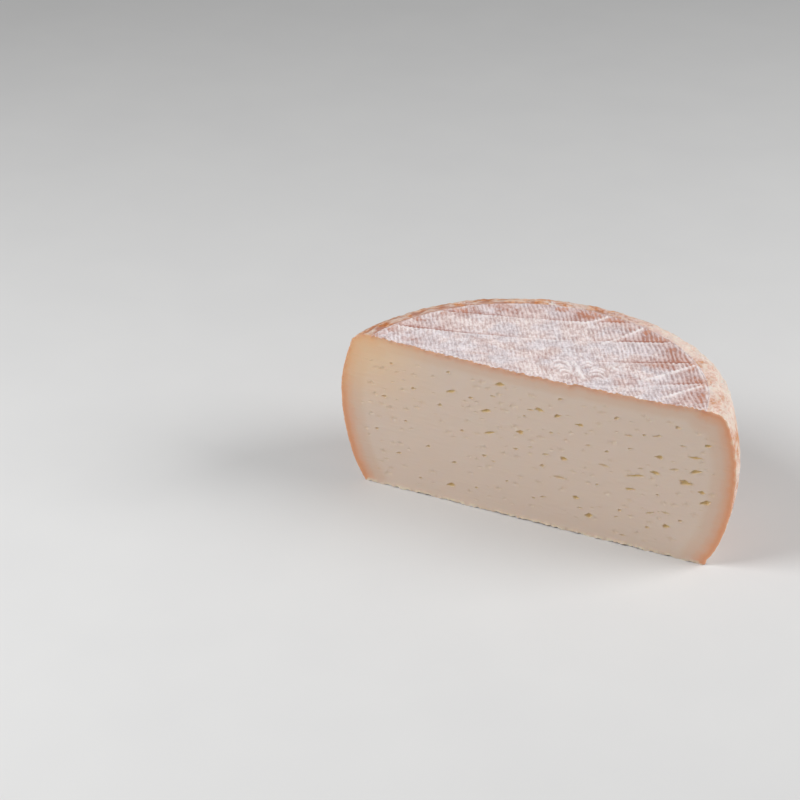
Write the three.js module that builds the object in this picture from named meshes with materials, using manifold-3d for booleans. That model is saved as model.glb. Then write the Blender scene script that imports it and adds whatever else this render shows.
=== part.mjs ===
// A little under half of a thick goat cheese wheel, cut straight down beside its middle.
// Millimetres, +Z up. The cut face looks along -Y, the rind is round the +Y side, and the origin is
// under the middle of the piece.
import * as THREE from 'three';
import { mergeVertices } from 'three/addons/utils/BufferGeometryUtils.js';
import Module from 'manifold-3d';

// The whole wheel.
const BELLY_RADIUS = 100;
const BELLY_HEIGHT = 43.7;
const HEIGHT = 79.4;
const FOOT_RADIUS = 87.7;
const FOOT_CURVE = 2.3;
const LEAN_ABOVE_BELLY = 7.5;
const SHOULDER_RADIUS = 9;
const DISH = 2.4;
const RIM_BEAD_HEIGHT = 0.5;
const RIM_BEAD_WIDTH = 1.2;

// Slow lumps in the flank: waves round the wheel from its back, that wind up it.
const LUMP = 0.35;
const LUMP_WAVES = [{ around: 4, climb: 14 }, { around: 11, climb: -11 }];

// The knife passes this far beyond the wheel's axis.
const CUT_PAST_AXIS = 13.6;

// Folds that the cloth pressed into the top. Each runs between two x, y places, has a depth at both,
// and bows sideways in between.
const PLEATS = [
  { from: [-76, -7], to: [36, 29], depths: [1.2, 1.4], bow: -1 },
  { from: [-86, -30], to: [48, 14], depths: [1.3, 1.3], bow: -2 },
  { from: [-52, -40], to: [67, 0], depths: [0.5, 1.6], bow: -2 },
  { from: [16, -45], to: [75, -18], depths: [0.5, 1.3], bow: 0 },
  { from: [60, -46], to: [82, -35], depths: [0.5, 0.9], bow: 0 },
];
const PLEAT_ANGLE = THREE.MathUtils.degToRad(18.3);
const PLEAT_MIDDLE_SHARE = 0.45;
const PLEAT_END = 6;
const STEP_HALF_WIDTH = 0.7;
const GROOVE_SHARE = 0.62;
const GROOVE_RUN = 5;
const RIDGE_RUN = 7;

// Low soft ridges that cross the pleats.
const CREASES = [
  { from: [44, -30], to: [67, -1], height: 0.45 },
  { from: [61, -38], to: [76, -19], height: 0.45 },
  { from: [15, -4], to: [31, 24], height: 0.45 },
  { from: [-1, 11], to: [14, 32], height: 0.4 },
];
const CREASE_WIDTH = 1.6;

// Large eyes in the cut face: x, z, length and height.
const LARGE_EYES = [
  [-16.5, 69, 4, 1.5], [-23.5, 53.5, 4.5, 1.3], [3.5, 60.5, 4.2, 1.3], [12.5, 59.5, 3, 1.4],
  [-6, 46.5, 3.2, 1.6], [23.5, 57.5, 3.5, 1.2], [-21, 42.5, 5.5, 1], [16.5, 38, 3.2, 1.5],
  [-41, 9, 3.8, 1.6], [30, 11, 3.2, 1.8], [23.5, 19, 3, 1.4], [-41.5, 59.5, 4.8, 1.2],
  [62.5, 50.5, 3.2, 1.4], [79.5, 54.5, 6, 0.9], [80.5, 47.5, 4.6, 1.7], [61, 42, 4.2, 1.5],
  [51.5, 38, 7, 0.9], [49.5, 30.5, 4.8, 0.9], [76, 40.5, 5.6, 2.1], [85.5, 32.5, 4.8, 1.8],
  [83.5, 37.5, 3.6, 1.2], [68, 15.5, 3.2, 1.7], [85, 62, 3, 1.2],
];
const EYE_DEPTH = 1.2;
const EYE_TILT = 0.25;
const EYE_TILT_STEP = 2.4;

// Small eyes between the large ones, at steps that never fall into rows.
const SMALL_EYE = { length: 2, height: 1, least: 0.75, most: 1.25 };
const SMALL_EYE_TRIES = 60;
const SMALL_EYE_STEPS = { x: 0.7549, z: 0.5698, size: 0.618 };
const EYE_FIELD = { low: 4, high: 70, fromRind: 10 };
const EYE_SPACING = 7;

// How finely the curved faces are divided.
const WHEEL_SEGMENTS = 120;
const FLANK_RINGS = 14;
const SHOULDER_RINGS = 5;
const RELIEF_ALONG = 4.4;
const RELIEF_ACROSS = 1.5;
const SPARE = 20;

// Derived places.
const AXIS_Y = -(BELLY_RADIUS + CUT_PAST_AXIS) / 2;
const CUT_Y = AXIS_Y + CUT_PAST_AXIS;
const SHOULDER = fitShoulder();
const RIM_RADIUS = flankRadius(SHOULDER.start) - SHOULDER_RADIUS * Math.cos(SHOULDER.lean);

const { clamp, lerp, smoothstep } = THREE.MathUtils;
const wasm = await Module();
wasm.setup();

// Radius of the flank at a height: a steep curve under the belly, and a slow lean above it.
function flankRadius(z) {
  if (z < BELLY_HEIGHT) {
    const down = (BELLY_HEIGHT - z) / BELLY_HEIGHT;
    return BELLY_RADIUS - (BELLY_RADIUS - FOOT_RADIUS) * down ** FOOT_CURVE;
  }
  const up = (z - BELLY_HEIGHT) / (HEIGHT - BELLY_HEIGHT);
  return BELLY_RADIUS - LEAN_ABOVE_BELLY * up ** 2;
}

// The shoulder is an arc that leaves the flank along its slope and ends level at the rim.
function fitShoulder() {
  const rise = HEIGHT - BELLY_HEIGHT;
  let start = HEIGHT - SHOULDER_RADIUS;
  let lean = 0;
  for (let pass = 0; pass < 10; pass++) {
    lean = Math.atan((2 * LEAN_ABOVE_BELLY * (start - BELLY_HEIGHT)) / rise ** 2);
    start = HEIGHT - SHOULDER_RADIUS * (1 - Math.sin(lean));
  }
  return { start, lean };
}

// The lumps die out at the foot and at the rim.
function lumpHeight(angle, z) {
  let waves = 0;
  for (const { around, climb } of LUMP_WAVES) waves += Math.sin(around * angle + (z - BELLY_HEIGHT) / climb);
  return LUMP * Math.sin((Math.PI * z) / HEIGHT) * waves;
}

// How far a place lies along a line from its start, and away from it towards the back.
function alongAndAway(x, y, from, to) {
  const length = Math.hypot(to[0] - from[0], to[1] - from[1]);
  const ux = (to[0] - from[0]) / length;
  const uy = (to[1] - from[1]) / length;
  const dx = x - from[0];
  const dy = y - from[1];
  return { along: dx * ux + dy * uy, away: dy * ux - dx * uy, length };
}

// A pleat is a step: a groove that opens slowly towards the back, and a ridge in front of it.
function pleatHeight(x, y, { from, to, depths, bow }) {
  const { along, away, length } = alongAndAway(x, y, from, to);
  const t = clamp(along / length, 0, 1);
  const middle = 4 * t * (1 - t);
  const beyond = Math.max(-along, along - length, 0);
  const share = lerp(1, PLEAT_MIDDLE_SHARE, middle) * (1 - smoothstep(beyond, 0, PLEAT_END));
  const depth = lerp(depths[0], depths[1], t) * share;
  const side = away - bow * middle;
  const groove = -GROOVE_SHARE * Math.exp(-Math.max(side, 0) / GROOVE_RUN);
  const ridge = (1 - GROOVE_SHARE) * Math.exp(Math.min(side, 0) / RIDGE_RUN);
  return depth * lerp(ridge, groove, smoothstep(side, -STEP_HALF_WIDTH, STEP_HALF_WIDTH));
}

function creaseHeight(x, y, { from, to, height }) {
  const { along, away, length } = alongAndAway(x, y, from, to);
  const inside = smoothstep(along, 0, PLEAT_END) * (1 - smoothstep(along, length - PLEAT_END, length));
  return height * inside * Math.exp(-((away / CREASE_WIDTH) ** 2));
}

// Height of the top: a shallow dish with the pleats and creases in it.
function topHeight(x, y) {
  const reach = Math.hypot(x, y - AXIS_Y) / RIM_RADIUS;
  let z = HEIGHT - DISH * (1 - reach ** 2);
  for (const pleat of PLEATS) z += pleatHeight(x, y, pleat);
  for (const crease of CREASES) z += creaseHeight(x, y, crease);
  return z;
}

// A closed solid from a geometry, with its shared corners merged and empty triangles dropped.
function solid(geometry) {
  geometry.deleteAttribute('normal');
  geometry.deleteAttribute('uv');
  const merged = mergeVertices(geometry, 1e-4);
  const corners = merged.index.array;
  const triVerts = [];
  for (let i = 0; i < corners.length; i += 3) {
    const [a, b, c] = corners.slice(i, i + 3);
    if (a !== b && b !== c && c !== a) triVerts.push(a, b, c);
  }
  return new wasm.Manifold(new wasm.Mesh({
    numProp: 3,
    vertProperties: merged.attributes.position.array,
    triVerts: new Uint32Array(triVerts),
  }));
}

// Outline of the wheel from the middle of its foot to the middle of its top, with spare height over
// the top for the relief to be cut into.
function wheelProfile() {
  const profile = [new THREE.Vector2(0, 0)];
  for (let ring = 0; ring <= FLANK_RINGS; ring++) {
    const z = (SHOULDER.start * ring) / FLANK_RINGS;
    profile.push(new THREE.Vector2(flankRadius(z), z));
  }
  for (let ring = 1; ring <= SHOULDER_RINGS; ring++) {
    const turn = lerp(SHOULDER.lean, Math.PI / 2, ring / SHOULDER_RINGS);
    const z = HEIGHT - SHOULDER_RADIUS * (1 - Math.sin(turn));
    profile.push(new THREE.Vector2(RIM_RADIUS + SHOULDER_RADIUS * Math.cos(turn), z));
  }
  const beadTop = HEIGHT + RIM_BEAD_HEIGHT;
  profile.push(new THREE.Vector2(RIM_RADIUS - RIM_BEAD_WIDTH / 2, beadTop));
  profile.push(new THREE.Vector2(RIM_RADIUS - 2 * RIM_BEAD_WIDTH, beadTop));
  profile.push(new THREE.Vector2(0, beadTop + SPARE / 4));
  return profile;
}

function wheelBlank() {
  const wheel = new THREE.LatheGeometry(wheelProfile(), WHEEL_SEGMENTS);
  wheel.rotateX(Math.PI / 2);
  const places = wheel.attributes.position;
  for (let i = 0; i < places.count; i++) {
    const x = places.getX(i);
    const y = places.getY(i);
    const radius = Math.hypot(x, y);
    const lump = radius > RIM_RADIUS ? lumpHeight(Math.atan2(x, y), places.getZ(i)) : 0;
    const grown = 1 + lump / Math.max(radius, RIM_RADIUS);
    places.setXY(i, x * grown, y * grown);
  }
  wheel.translate(0, AXIS_Y, 0);
  return solid(wheel);
}

// The space over the pressed top, inside the rim bead. Its grid runs along the pleats.
function spaceOverTop() {
  const length = 2 * BELLY_RADIUS + SPARE;
  const width = BELLY_RADIUS + 2 * SPARE;
  const along = Math.round(length / RELIEF_ALONG);
  const across = Math.round(width / RELIEF_ACROSS);
  const slab = new THREE.BoxGeometry(length, width, SPARE, along, across, 1);
  slab.rotateZ(PLEAT_ANGLE);
  const places = slab.attributes.position;
  for (let i = 0; i < places.count; i++) {
    const low = places.getZ(i) < 0;
    places.setZ(i, low ? topHeight(places.getX(i), places.getY(i)) : HEIGHT + SPARE);
  }
  const mouthRadius = RIM_RADIUS - RIM_BEAD_WIDTH;
  const mouth = new THREE.CylinderGeometry(mouthRadius, mouthRadius, 2 * SPARE, WHEEL_SEGMENTS);
  mouth.rotateX(Math.PI / 2);
  mouth.translate(0, AXIS_Y, HEIGHT);
  return solid(slab).intersect(solid(mouth));
}

// Everything on the far side of the knife.
function cutAway() {
  const size = 3 * BELLY_RADIUS;
  const block = new THREE.BoxGeometry(size, size, size);
  block.translate(0, CUT_Y - size / 2, HEIGHT / 2);
  return solid(block);
}

// Small eyes go wherever a step lands clear of the other eyes and of the rind.
function smallEyes() {
  const eyes = [];
  for (let step = 1; step <= SMALL_EYE_TRIES; step++) {
    const x = (2 * ((step * SMALL_EYE_STEPS.x) % 1) - 1) * BELLY_RADIUS;
    const z = lerp(EYE_FIELD.low, EYE_FIELD.high, (step * SMALL_EYE_STEPS.z) % 1);
    const halfWidth = Math.sqrt(flankRadius(z) ** 2 - CUT_PAST_AXIS ** 2);
    const apart = (eye) => Math.hypot(eye[0] - x, eye[1] - z) > EYE_SPACING;
    if (Math.abs(x) < halfWidth - EYE_FIELD.fromRind && [...LARGE_EYES, ...eyes].every(apart)) {
      const size = lerp(SMALL_EYE.least, SMALL_EYE.most, (step * SMALL_EYE_STEPS.size) % 1);
      eyes.push([x, z, SMALL_EYE.length * size, SMALL_EYE.height * size]);
    }
  }
  return eyes;
}

function eyeSolid([x, z, length, height], number, detail) {
  const eye = new THREE.IcosahedronGeometry(1, detail);
  eye.scale(length / 2, EYE_DEPTH, height / 2);
  eye.rotateY(EYE_TILT * Math.sin(EYE_TILT_STEP * number));
  eye.translate(x, CUT_Y, z);
  return solid(eye);
}

function cheeseHalf() {
  let half = wheelBlank().subtract(spaceOverTop()).subtract(cutAway());
  const eyes = [
    ...LARGE_EYES.map((eye, number) => eyeSolid(eye, number, 1)),
    ...smallEyes().map((eye, number) => eyeSolid(eye, number, 0)),
  ];
  for (const eye of eyes) half = half.subtract(eye);
  const { vertProperties, triVerts } = half.getMesh();
  const geometry = new THREE.BufferGeometry();
  geometry.setAttribute('position', new THREE.BufferAttribute(vertProperties, 3));
  geometry.setIndex(new THREE.BufferAttribute(triVerts, 1));
  geometry.computeVertexNormals();
  return geometry;
}

const ivoryPaste = new THREE.MeshStandardMaterial({ color: 0xd8cbb4, roughness: 0.6, metalness: 0 });
const cheese = new THREE.Mesh(cheeseHalf(), ivoryPaste);
cheese.name = 'cheese_half';

const object = new THREE.Group();
object.add(cheese);

export default object;
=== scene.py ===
import math

import bpy
import numpy as np
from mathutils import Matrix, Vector, noise
from mathutils.geometry import delaunay_2d_cdt


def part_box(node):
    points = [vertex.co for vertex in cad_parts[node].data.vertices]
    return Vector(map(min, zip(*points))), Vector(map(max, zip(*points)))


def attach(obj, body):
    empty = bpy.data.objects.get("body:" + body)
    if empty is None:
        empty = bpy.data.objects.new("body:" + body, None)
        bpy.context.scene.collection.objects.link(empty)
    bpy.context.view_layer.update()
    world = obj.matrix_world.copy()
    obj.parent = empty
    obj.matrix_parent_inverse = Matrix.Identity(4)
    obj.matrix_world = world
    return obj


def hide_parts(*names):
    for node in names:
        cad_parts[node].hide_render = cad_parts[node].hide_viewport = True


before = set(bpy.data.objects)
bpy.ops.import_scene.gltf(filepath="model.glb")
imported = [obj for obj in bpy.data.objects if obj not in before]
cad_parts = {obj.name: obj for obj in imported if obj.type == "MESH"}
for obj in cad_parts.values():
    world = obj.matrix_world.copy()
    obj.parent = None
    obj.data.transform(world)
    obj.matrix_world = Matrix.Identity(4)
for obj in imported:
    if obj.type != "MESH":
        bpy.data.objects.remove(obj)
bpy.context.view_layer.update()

# A little under half of a thick goat cheese wheel: ivory paste with eyes, cloth-marked top, washed rind.
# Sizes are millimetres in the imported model's frame, apart from the stage's, and become metres in the mesh.

MM = 0.001
LOW, HIGH = (np.array(corner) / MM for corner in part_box("cheese_half"))

# The wheel. The knife passed a little beyond its axis.
CUT_PAST_AXIS = 13.6
RIM_BEAD_HEIGHT = 0.5
RIM_BEAD_WIDTH = 1.2
CUT_Y = LOW[1]
AXIS_Y = CUT_Y - CUT_PAST_AXIS
BELLY_RADIUS = HIGH[1] - AXIS_Y
HEIGHT = HIGH[2] - RIM_BEAD_HEIGHT
BELLY_HEIGHT = 0.55 * HEIGHT
FOOT_RADIUS = 0.877 * BELLY_RADIUS
FOOT_CURVE = 2.3
LEAN_ABOVE_BELLY = 7.5
SHOULDER_RADIUS = 9.0
DISH = 2.4
CLOTH_FROM_RIM = 2.2

# Slow lumps in the flank: waves round the wheel from its back, that wind up it.
LUMP = 0.35
LUMP_WAVES = ((4, 14.0), (11, -11.0))

# Folds that the cloth pressed into the top: from, to, depth at both ends, sideways bow.
PLEATS = (
    ((-76, -7), (36, 29), (1.2, 1.4), -1.0),
    ((-86, -30), (48, 14), (1.3, 1.3), -2.0),
    ((-52, -40), (67, 0), (0.5, 1.6), -2.0),
    ((16, -45), (75, -18), (0.5, 1.3), 0.0),
    ((60, -46), (82, -35), (0.5, 0.9), 0.0),
)
PLEAT_MIDDLE_SHARE = 0.45
PLEAT_END = 6.0
PLEAT_DEEPEST = 1.6
PLEAT_WANDER = 0.6
STEP_HALF_WIDTH = 0.55
GROOVE_SHARE = 0.62
GROOVE_RUN = 5.0
RIDGE_RUN = 7.0

# The dark line in a pleat's groove and the brown behind it, partly bare rind and partly painted shade,
# and the white on the ridge before it, partly bloom and partly painted highlight.
LINE_START = 0.3
LINE_WIDTH = 0.3
LINE_WIDEN = 1.1
LINE_FADE = 0.9
LINE_DEPTH = 0.2
WASH_AND_SHADE_RUN = 2.4
WASH_MOST = 0.85
RIDGE_WHITE_RUN = 1.2

# Where a fold of the cloth lay slack and hardly shows: centre and reach.
SLACK = ((2, -1), (26, 8))

# Low soft ridges that cross the pleats: from, to, height.
CREASES = (
    ((44, -30), (67, -1), 0.45),
    ((61, -38), (76, -19), 0.45),
    ((15, -4), (31, 24), 0.45),
    ((-1, 11), (14, 32), 0.4),
    ((9, -19), (23.5, -39), 0.5),
)
CREASE_WIDTH = 0.9

# Small folds beside the cut where the cloth was gathered, bent like arches: from, through, to.
ARCHES = (
    ((3, -27), (5, -24), (9.5, -25.5)),
    ((4.5, -30), (6.5, -28.5), (9, -28)),
    ((7, -32.5), (8.5, -29), (12.5, -30)),
    ((9.5, -35.5), (10, -31.5), (14.5, -33)),
    ((7, -24), (10.5, -26), (14, -33)),
    ((10, -23), (13.5, -26.5), (17.5, -33.5)),
    ((17.5, -33.5), (20, -33.5), (22.5, -37)),
    ((15, -24), (16.5, -20.5), (21, -21)),
    ((17, -26), (18.5, -23), (22.5, -23.5)),
    ((21, -26.5), (23.5, -24), (28.5, -25)),
    ((21.5, -30), (24.5, -26), (30, -28.5)),
    ((23, -33), (25, -29), (30, -30.5)),
    ((28, -22), (29, -19.5), (32, -22.5)),
)
ARCH_HEIGHT = 0.8
ARCH_WIDTH = 0.7
ARCH_WANDER = 0.7
ARCH_POINTS = 24
ARCH_FURROW = (0.5, -1.1)
ARCH_CLEARING = 2.6

# Places where the bloom is rubbed off the top: centre, reach along and across, and how bare.
STAINS = (
    ((2, 23), (8, 5), 0.85), ((14, 23), (7, 3), 0.85), ((36, 20), (5, 2.5), 0.3),
    ((63, -2), (4, 4), 0.85), ((46, -10), (10, 3.5), 0.9), ((73, -19), (2.5, 6), 0.9),
    ((-77, -19), (4, 7), 0.5), ((-57, 1), (9, 5), 0.75), ((-42, 12), (9, 5), 0.65),
    ((77, -31), (2, 4), 0.6), ((-68, -36), (8, 5), 0.45), ((43, -25), (16, 9), 0.4),
    ((13, 10), (8, 4), 0.3), ((-80, -38), (5, 4), 0.4),
)

# Where the shoulder is bare and orange: centre and reach.
RIM_STAINS = (((64, -2, 79), (5, 6, 4)), ((75, -18, 79), (4, 8, 4)), ((83, -31, 79), (6, 11, 5)))

# The crumbly lip that the knife left along the top's straight edge. One crumb is large: its place and width.
LIP_HEIGHT = 0.5
LIP_RUN = 1.6
LIP_OUT = 1.0
LIP_CRUMB = 0.4
LIP_LUMP = (22.5, 2.2)
LIP_LUMP_RISE = 0.9
LIP_BARE_RUN = 1.1
LIP_WHITE_RUN = 0.9

# The cloth's threads: turn of the ribs' spacing from +X, and spacing both ways.
THREAD_TURN = math.radians(31)
RIB_SPACING = 2.05
WEFT_SPACING = 1.9
THREAD_HEIGHT = 0.24

# Relief of the flank. The lip round its foot and the groove above it have a height up the flank and a width.
GATHER_HEIGHT = 0.5
GATHER_DRAW = 4.5
PIT_DEPTH = 0.25
SWELL_HEIGHT = 0.14
STREAK_HEIGHT = 0.16
STREAK_DRAW = (5.0, 1.3)
CRUMB_HEIGHT = 0.2
FOOT_LIP_RISE = 0.7
FOOT_LIP = (0.9, 0.9)
FOOT_GROOVE_DEPTH = 0.4
FOOT_GROOVE = (2.8, 0.7)
FOOT_GROOVE_WANDER = 1.2

# Large eyes in the cut face: x, z, length and height.
LARGE_EYES = (
    (-16.5, 69, 4, 1.5), (-23.5, 53.5, 4.5, 1.3), (3.5, 60.5, 4.2, 1.3), (12.5, 59.5, 3, 1.4),
    (-6, 46.5, 3.2, 1.6), (23.5, 57.5, 3.5, 1.2), (-21, 42.5, 5.5, 1), (16.5, 38, 3.2, 1.5),
    (-41, 9, 3.8, 1.6), (30, 11, 3.2, 1.8), (23.5, 19, 3, 1.4), (-41.5, 59.5, 4.8, 1.2),
    (62.5, 50.5, 3.2, 1.4), (79.5, 54.5, 6, 0.9), (80.5, 47.5, 4.6, 1.7), (61, 42, 4.2, 1.5),
    (51.5, 38, 7, 0.9), (49.5, 30.5, 4.8, 0.9), (76, 40.5, 5.6, 2.1), (85.5, 32.5, 4.8, 1.8),
    (83.5, 37.5, 3.6, 1.2), (68, 15.5, 3.2, 1.7), (85, 62, 3, 1.2),
)

# Thin slits between them: x, z and length. They run out a little beyond that length.
SLITS = (
    (-20, 62, 2.5), (-35.5, 43.5, 2.8), (7.5, 38, 3), (-0.5, 40, 1.6), (-19, 27.5, 1.9), (7, 15, 2.5),
    (25.5, 14, 2), (-14.5, 17, 1.9), (47.5, 58, 3.1), (48.5, 51.5, 1.9), (73.5, 59, 2.1), (54, 42.5, 2.1),
    (70, 46, 3.6), (67.5, 22.5, 3.1), (60, 20.5, 3.7), (47, 5, 2.5), (61, 11.5, 2.6), (36, 30, 1.9),
    (28, 48, 2.2), (43.5, 14, 1.6), (36.5, 39.5, 3.9), (61, 61, 3.3), (-1, 59.5, 2.5), (15, 27.5, 5),
)
SLIT_RUN_OUT = 1.15
SLIT_HEIGHT = 0.16
SLIT_LEAST_HEIGHT = 0.3
SLIT_SPACING = 3.5
SLIT_TINT = 0.55

# Small eyes and faint dents, which follow a rule: length and height, the range that scales them, and spacing.
SMALL_EYES = ((2.0, 1.0), (0.75, 1.25), 7.0)
SMALL_EYE_TRIES = 60
SMALL_EYE_STEPS = (0.7549, 0.5698, 0.618)
SMALL_EYE_TINT = 0.62
FAINT_EYES = ((3.2, 0.75), (0.5, 1.4), 3.2)
FAINT_EYE_TRIES = 340
FAINT_EYE_SEED = 4
FAINT_EYE_TINT = 0.14
FAINT_EYE_SHARE = 0.6
EYE_FIELD = (4.0, 70.0)
EYE_FROM_RIND = 10.0

# The form of an eye: how deep for its height, how it leans, where it is widest, and its rings of corners.
EYE_DEPTH = 0.36
EYE_LIP = 0.1
EYE_LEAN = 0.14
EYE_TILT = 0.2
EYE_TILT_STEP = 2.4
EYE_WIDEST = 0.45
EYE_WIDEST_STEP = 1.7
EYE_WIDEST_RUN = 0.8
EYE_WIDTH = 1.25
EYE_SLIT = 0.5
EYE_BLUNT = 0.75
EYE_RINGS = (0.0, 0.3, 0.55, 0.75, 0.9, 1.0, 1.12, 1.4)
EYE_CORNERS = 24
FAINT_EYE_RINGS = (0.0, 0.5, 0.85, 1.05, 1.35)
FAINT_EYE_CORNERS = 10

# How far the rind's colour reaches into the paste from the flank. Under the top and over the foot it is
# weaker: the share of that reach at which it starts there, and how fast it then fades.
BAND = 13.0
SKIN_GAP = 0.03
# Under the top the paste starts orange, partly the rind's colour and partly painted shade under the lip.
TOP_START, TOP_FADE = 0.15, 1.4
FOOT_START, FOOT_FADE = 0.72, 2.0

# How far the paste lies behind the rind's edge.
PASTE_SUNK = 0.16

# Spacing of the mesh on each face.
FLANK_COLUMNS = 330
FLANK_STEP = 0.95
FOOT_STEP = 0.5
FOOT_FINE = 5.0
SHOULDER_STEP = 0.6
TOP_STEP = (0.5, 0.75)
CUT_STEP = (1.3, 0.87 * 1.3)
EDGE_STEP = 0.42
FOOT_EDGE_STEP = 0.8
UNDERSIDE_STEP = (2.2, 2.2)

# How far the corners inside a face stay clear of its rim and of the cut.
TOP_CLEAR = (0.4, 0.35)
UNDERSIDE_CLEAR = (1.2, 1.2)

# The same on the cut, from its outline, and from an eye as shares of its length and height.
CUT_CLEAR = 0.7
EYE_CLEAR = (0.95, 1.1)

# Clear strip between the sheets of the bake map.
MAP_MARGIN = 2.5

FLANK, TOP, CUT, UNDERSIDE = range(4)

# Uneven fields: the size of their blotches, and a number that sets each one apart.
FIELDS = {
    "rim": (5.0, 1), "rim nick": (2.2, 2), "rim bead": (7.0, 10), "rim bloom": (9.0, 33),
    "rim rubbed": (5.0, 20),
    "pleat wander": (9.0, 3), "pleat fray": (4.0, 29), "wash": (13.0, 17), "stain": (3.0, 24),
    "thread bend": (12.0, 4), "thread kink": (3.5, 8), "rib share": (14.0, 6), "thread wear": (5.0, 7),
    "arch along": (3.0, 25), "arch across": (3.0, 26), "arch broken": (3.5, 35),
    "lip grit": (1.0, 15), "lip crumbs": (2.2, 30), "lip lumps": (5.0, 16),
    "lip out": (2.4, 18), "lip nick": (1.0, 32), "lip bare": (1.5, 37), "lip white": (1.6, 31),
    "eye edge": (0.6, 9), "eye nick": (0.25, 34),
    "gathers": (2.6, 27), "pits": (3.2, 11), "swells": (7.0, 12), "streaks": (1.0, 13), "crumbs": (2.0, 40),
    "seam": (5.0, 38), "dusting_and_light": (4.0, 39), "foot lip": (6.0, 14), "foot line": (2.0, 28),
    "foot chips": (4.0, 21), "foot nick": (1.3, 22), "foot out": (2.0, 23), "foot white": (2.6, 36),
}
FIELD_STRIDE = 17.3


# Small helpers

def smoothstep(value, low, high):
    t = unit((value - low) / (high - low))
    return t * t * (3.0 - 2.0 * t)


def lerp(a, b, t):
    return a + (b - a) * t


def unit(value):
    return np.clip(value, 0.0, 1.0)


def hump(value, middle, width):
    """A smooth rise to 1 at the middle value."""
    return np.exp(-((value - middle) / width) ** 2)


def spot(places, centre, reach):
    """How much each place lies in a soft round spot, from 0 to 1."""
    return np.exp(-(((places - np.array(centre)) / np.array(reach)) ** 2).sum(axis=1))


def uneven(places, field):
    """Smooth random values from about -1 to 1, in blotches of the field's size."""
    size, number = FIELDS[field]
    shifted = np.asarray(places, float) / size + FIELD_STRIDE * number
    return np.array([noise.noise(place) for place in shifted.tolist()])


def patchy(places, field, middle, swing, low=0.0, high=1.0):
    """Uneven values about a middle one, kept between two limits."""
    return np.clip(middle + swing * uneven(places, field), low, high)


def flat_places(x, y):
    return np.column_stack((x, y, np.zeros_like(x)))


def inside_outline(places, outline):
    """Which flat places lie inside a closed outline."""
    inside = np.zeros(len(places), bool)
    for a, b in zip(outline, np.roll(outline, -1, axis=0)):
        if a[1] != b[1]:
            between = (places[:, 1] > min(a[1], b[1])) & (places[:, 1] <= max(a[1], b[1]))
            crossing = a[0] + (places[:, 1] - a[1]) * (b[0] - a[0]) / (b[1] - a[1])
            inside ^= between & (places[:, 0] < crossing)
    return inside


# The wheel's form

def flank_radius(z):
    down = unit((BELLY_HEIGHT - z) / BELLY_HEIGHT)
    up = unit((z - BELLY_HEIGHT) / (HEIGHT - BELLY_HEIGHT))
    return BELLY_RADIUS - (BELLY_RADIUS - FOOT_RADIUS) * down ** FOOT_CURVE - LEAN_ABOVE_BELLY * up ** 2


def fit_shoulder():
    """Height and lean where the shoulder's arc leaves the flank, so that it ends level at the rim."""
    start, lean = HEIGHT - SHOULDER_RADIUS, 0.0
    for _ in range(10):
        lean = math.atan(2.0 * LEAN_ABOVE_BELLY * (start - BELLY_HEIGHT) / (HEIGHT - BELLY_HEIGHT) ** 2)
        start = HEIGHT - SHOULDER_RADIUS * (1.0 - math.sin(lean))
    return start, lean


SHOULDER_START, SHOULDER_LEAN = fit_shoulder()
RIM_RADIUS = float(flank_radius(SHOULDER_START)) - SHOULDER_RADIUS * math.cos(SHOULDER_LEAN)
CLOTH_RADIUS = RIM_RADIUS - CLOTH_FROM_RIM


def dish_height(reach):
    return HEIGHT - DISH * (1.0 - (reach / RIM_RADIUS) ** 2)


def lump_height(angle, z):
    waves = sum(np.sin(around * angle + (z - BELLY_HEIGHT) / climb) for around, climb in LUMP_WAVES)
    return LUMP * np.sin(np.pi * unit(z / HEIGHT)) * waves


def rim_wave(angle):
    """How far the crumpled rim stands up or sinks, going round it from the back."""
    places = flat_places(CLOTH_RADIUS * np.sin(angle), CLOTH_RADIUS * np.cos(angle))
    return 0.3 * uneven(places, "rim") + 0.15 * uneven(places, "rim nick")


# The cloth's marks on the top

def along_and_away(x, y, start, end):
    """How far a place lies along a line from its start, and away from it towards the back."""
    dx, dy = end[0] - start[0], end[1] - start[1]
    length = math.hypot(dx, dy)
    ux, uy = dx / length, dy / length
    return (x - start[0]) * ux + (y - start[1]) * uy, (y - start[1]) * ux - (x - start[0]) * uy, length


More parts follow.
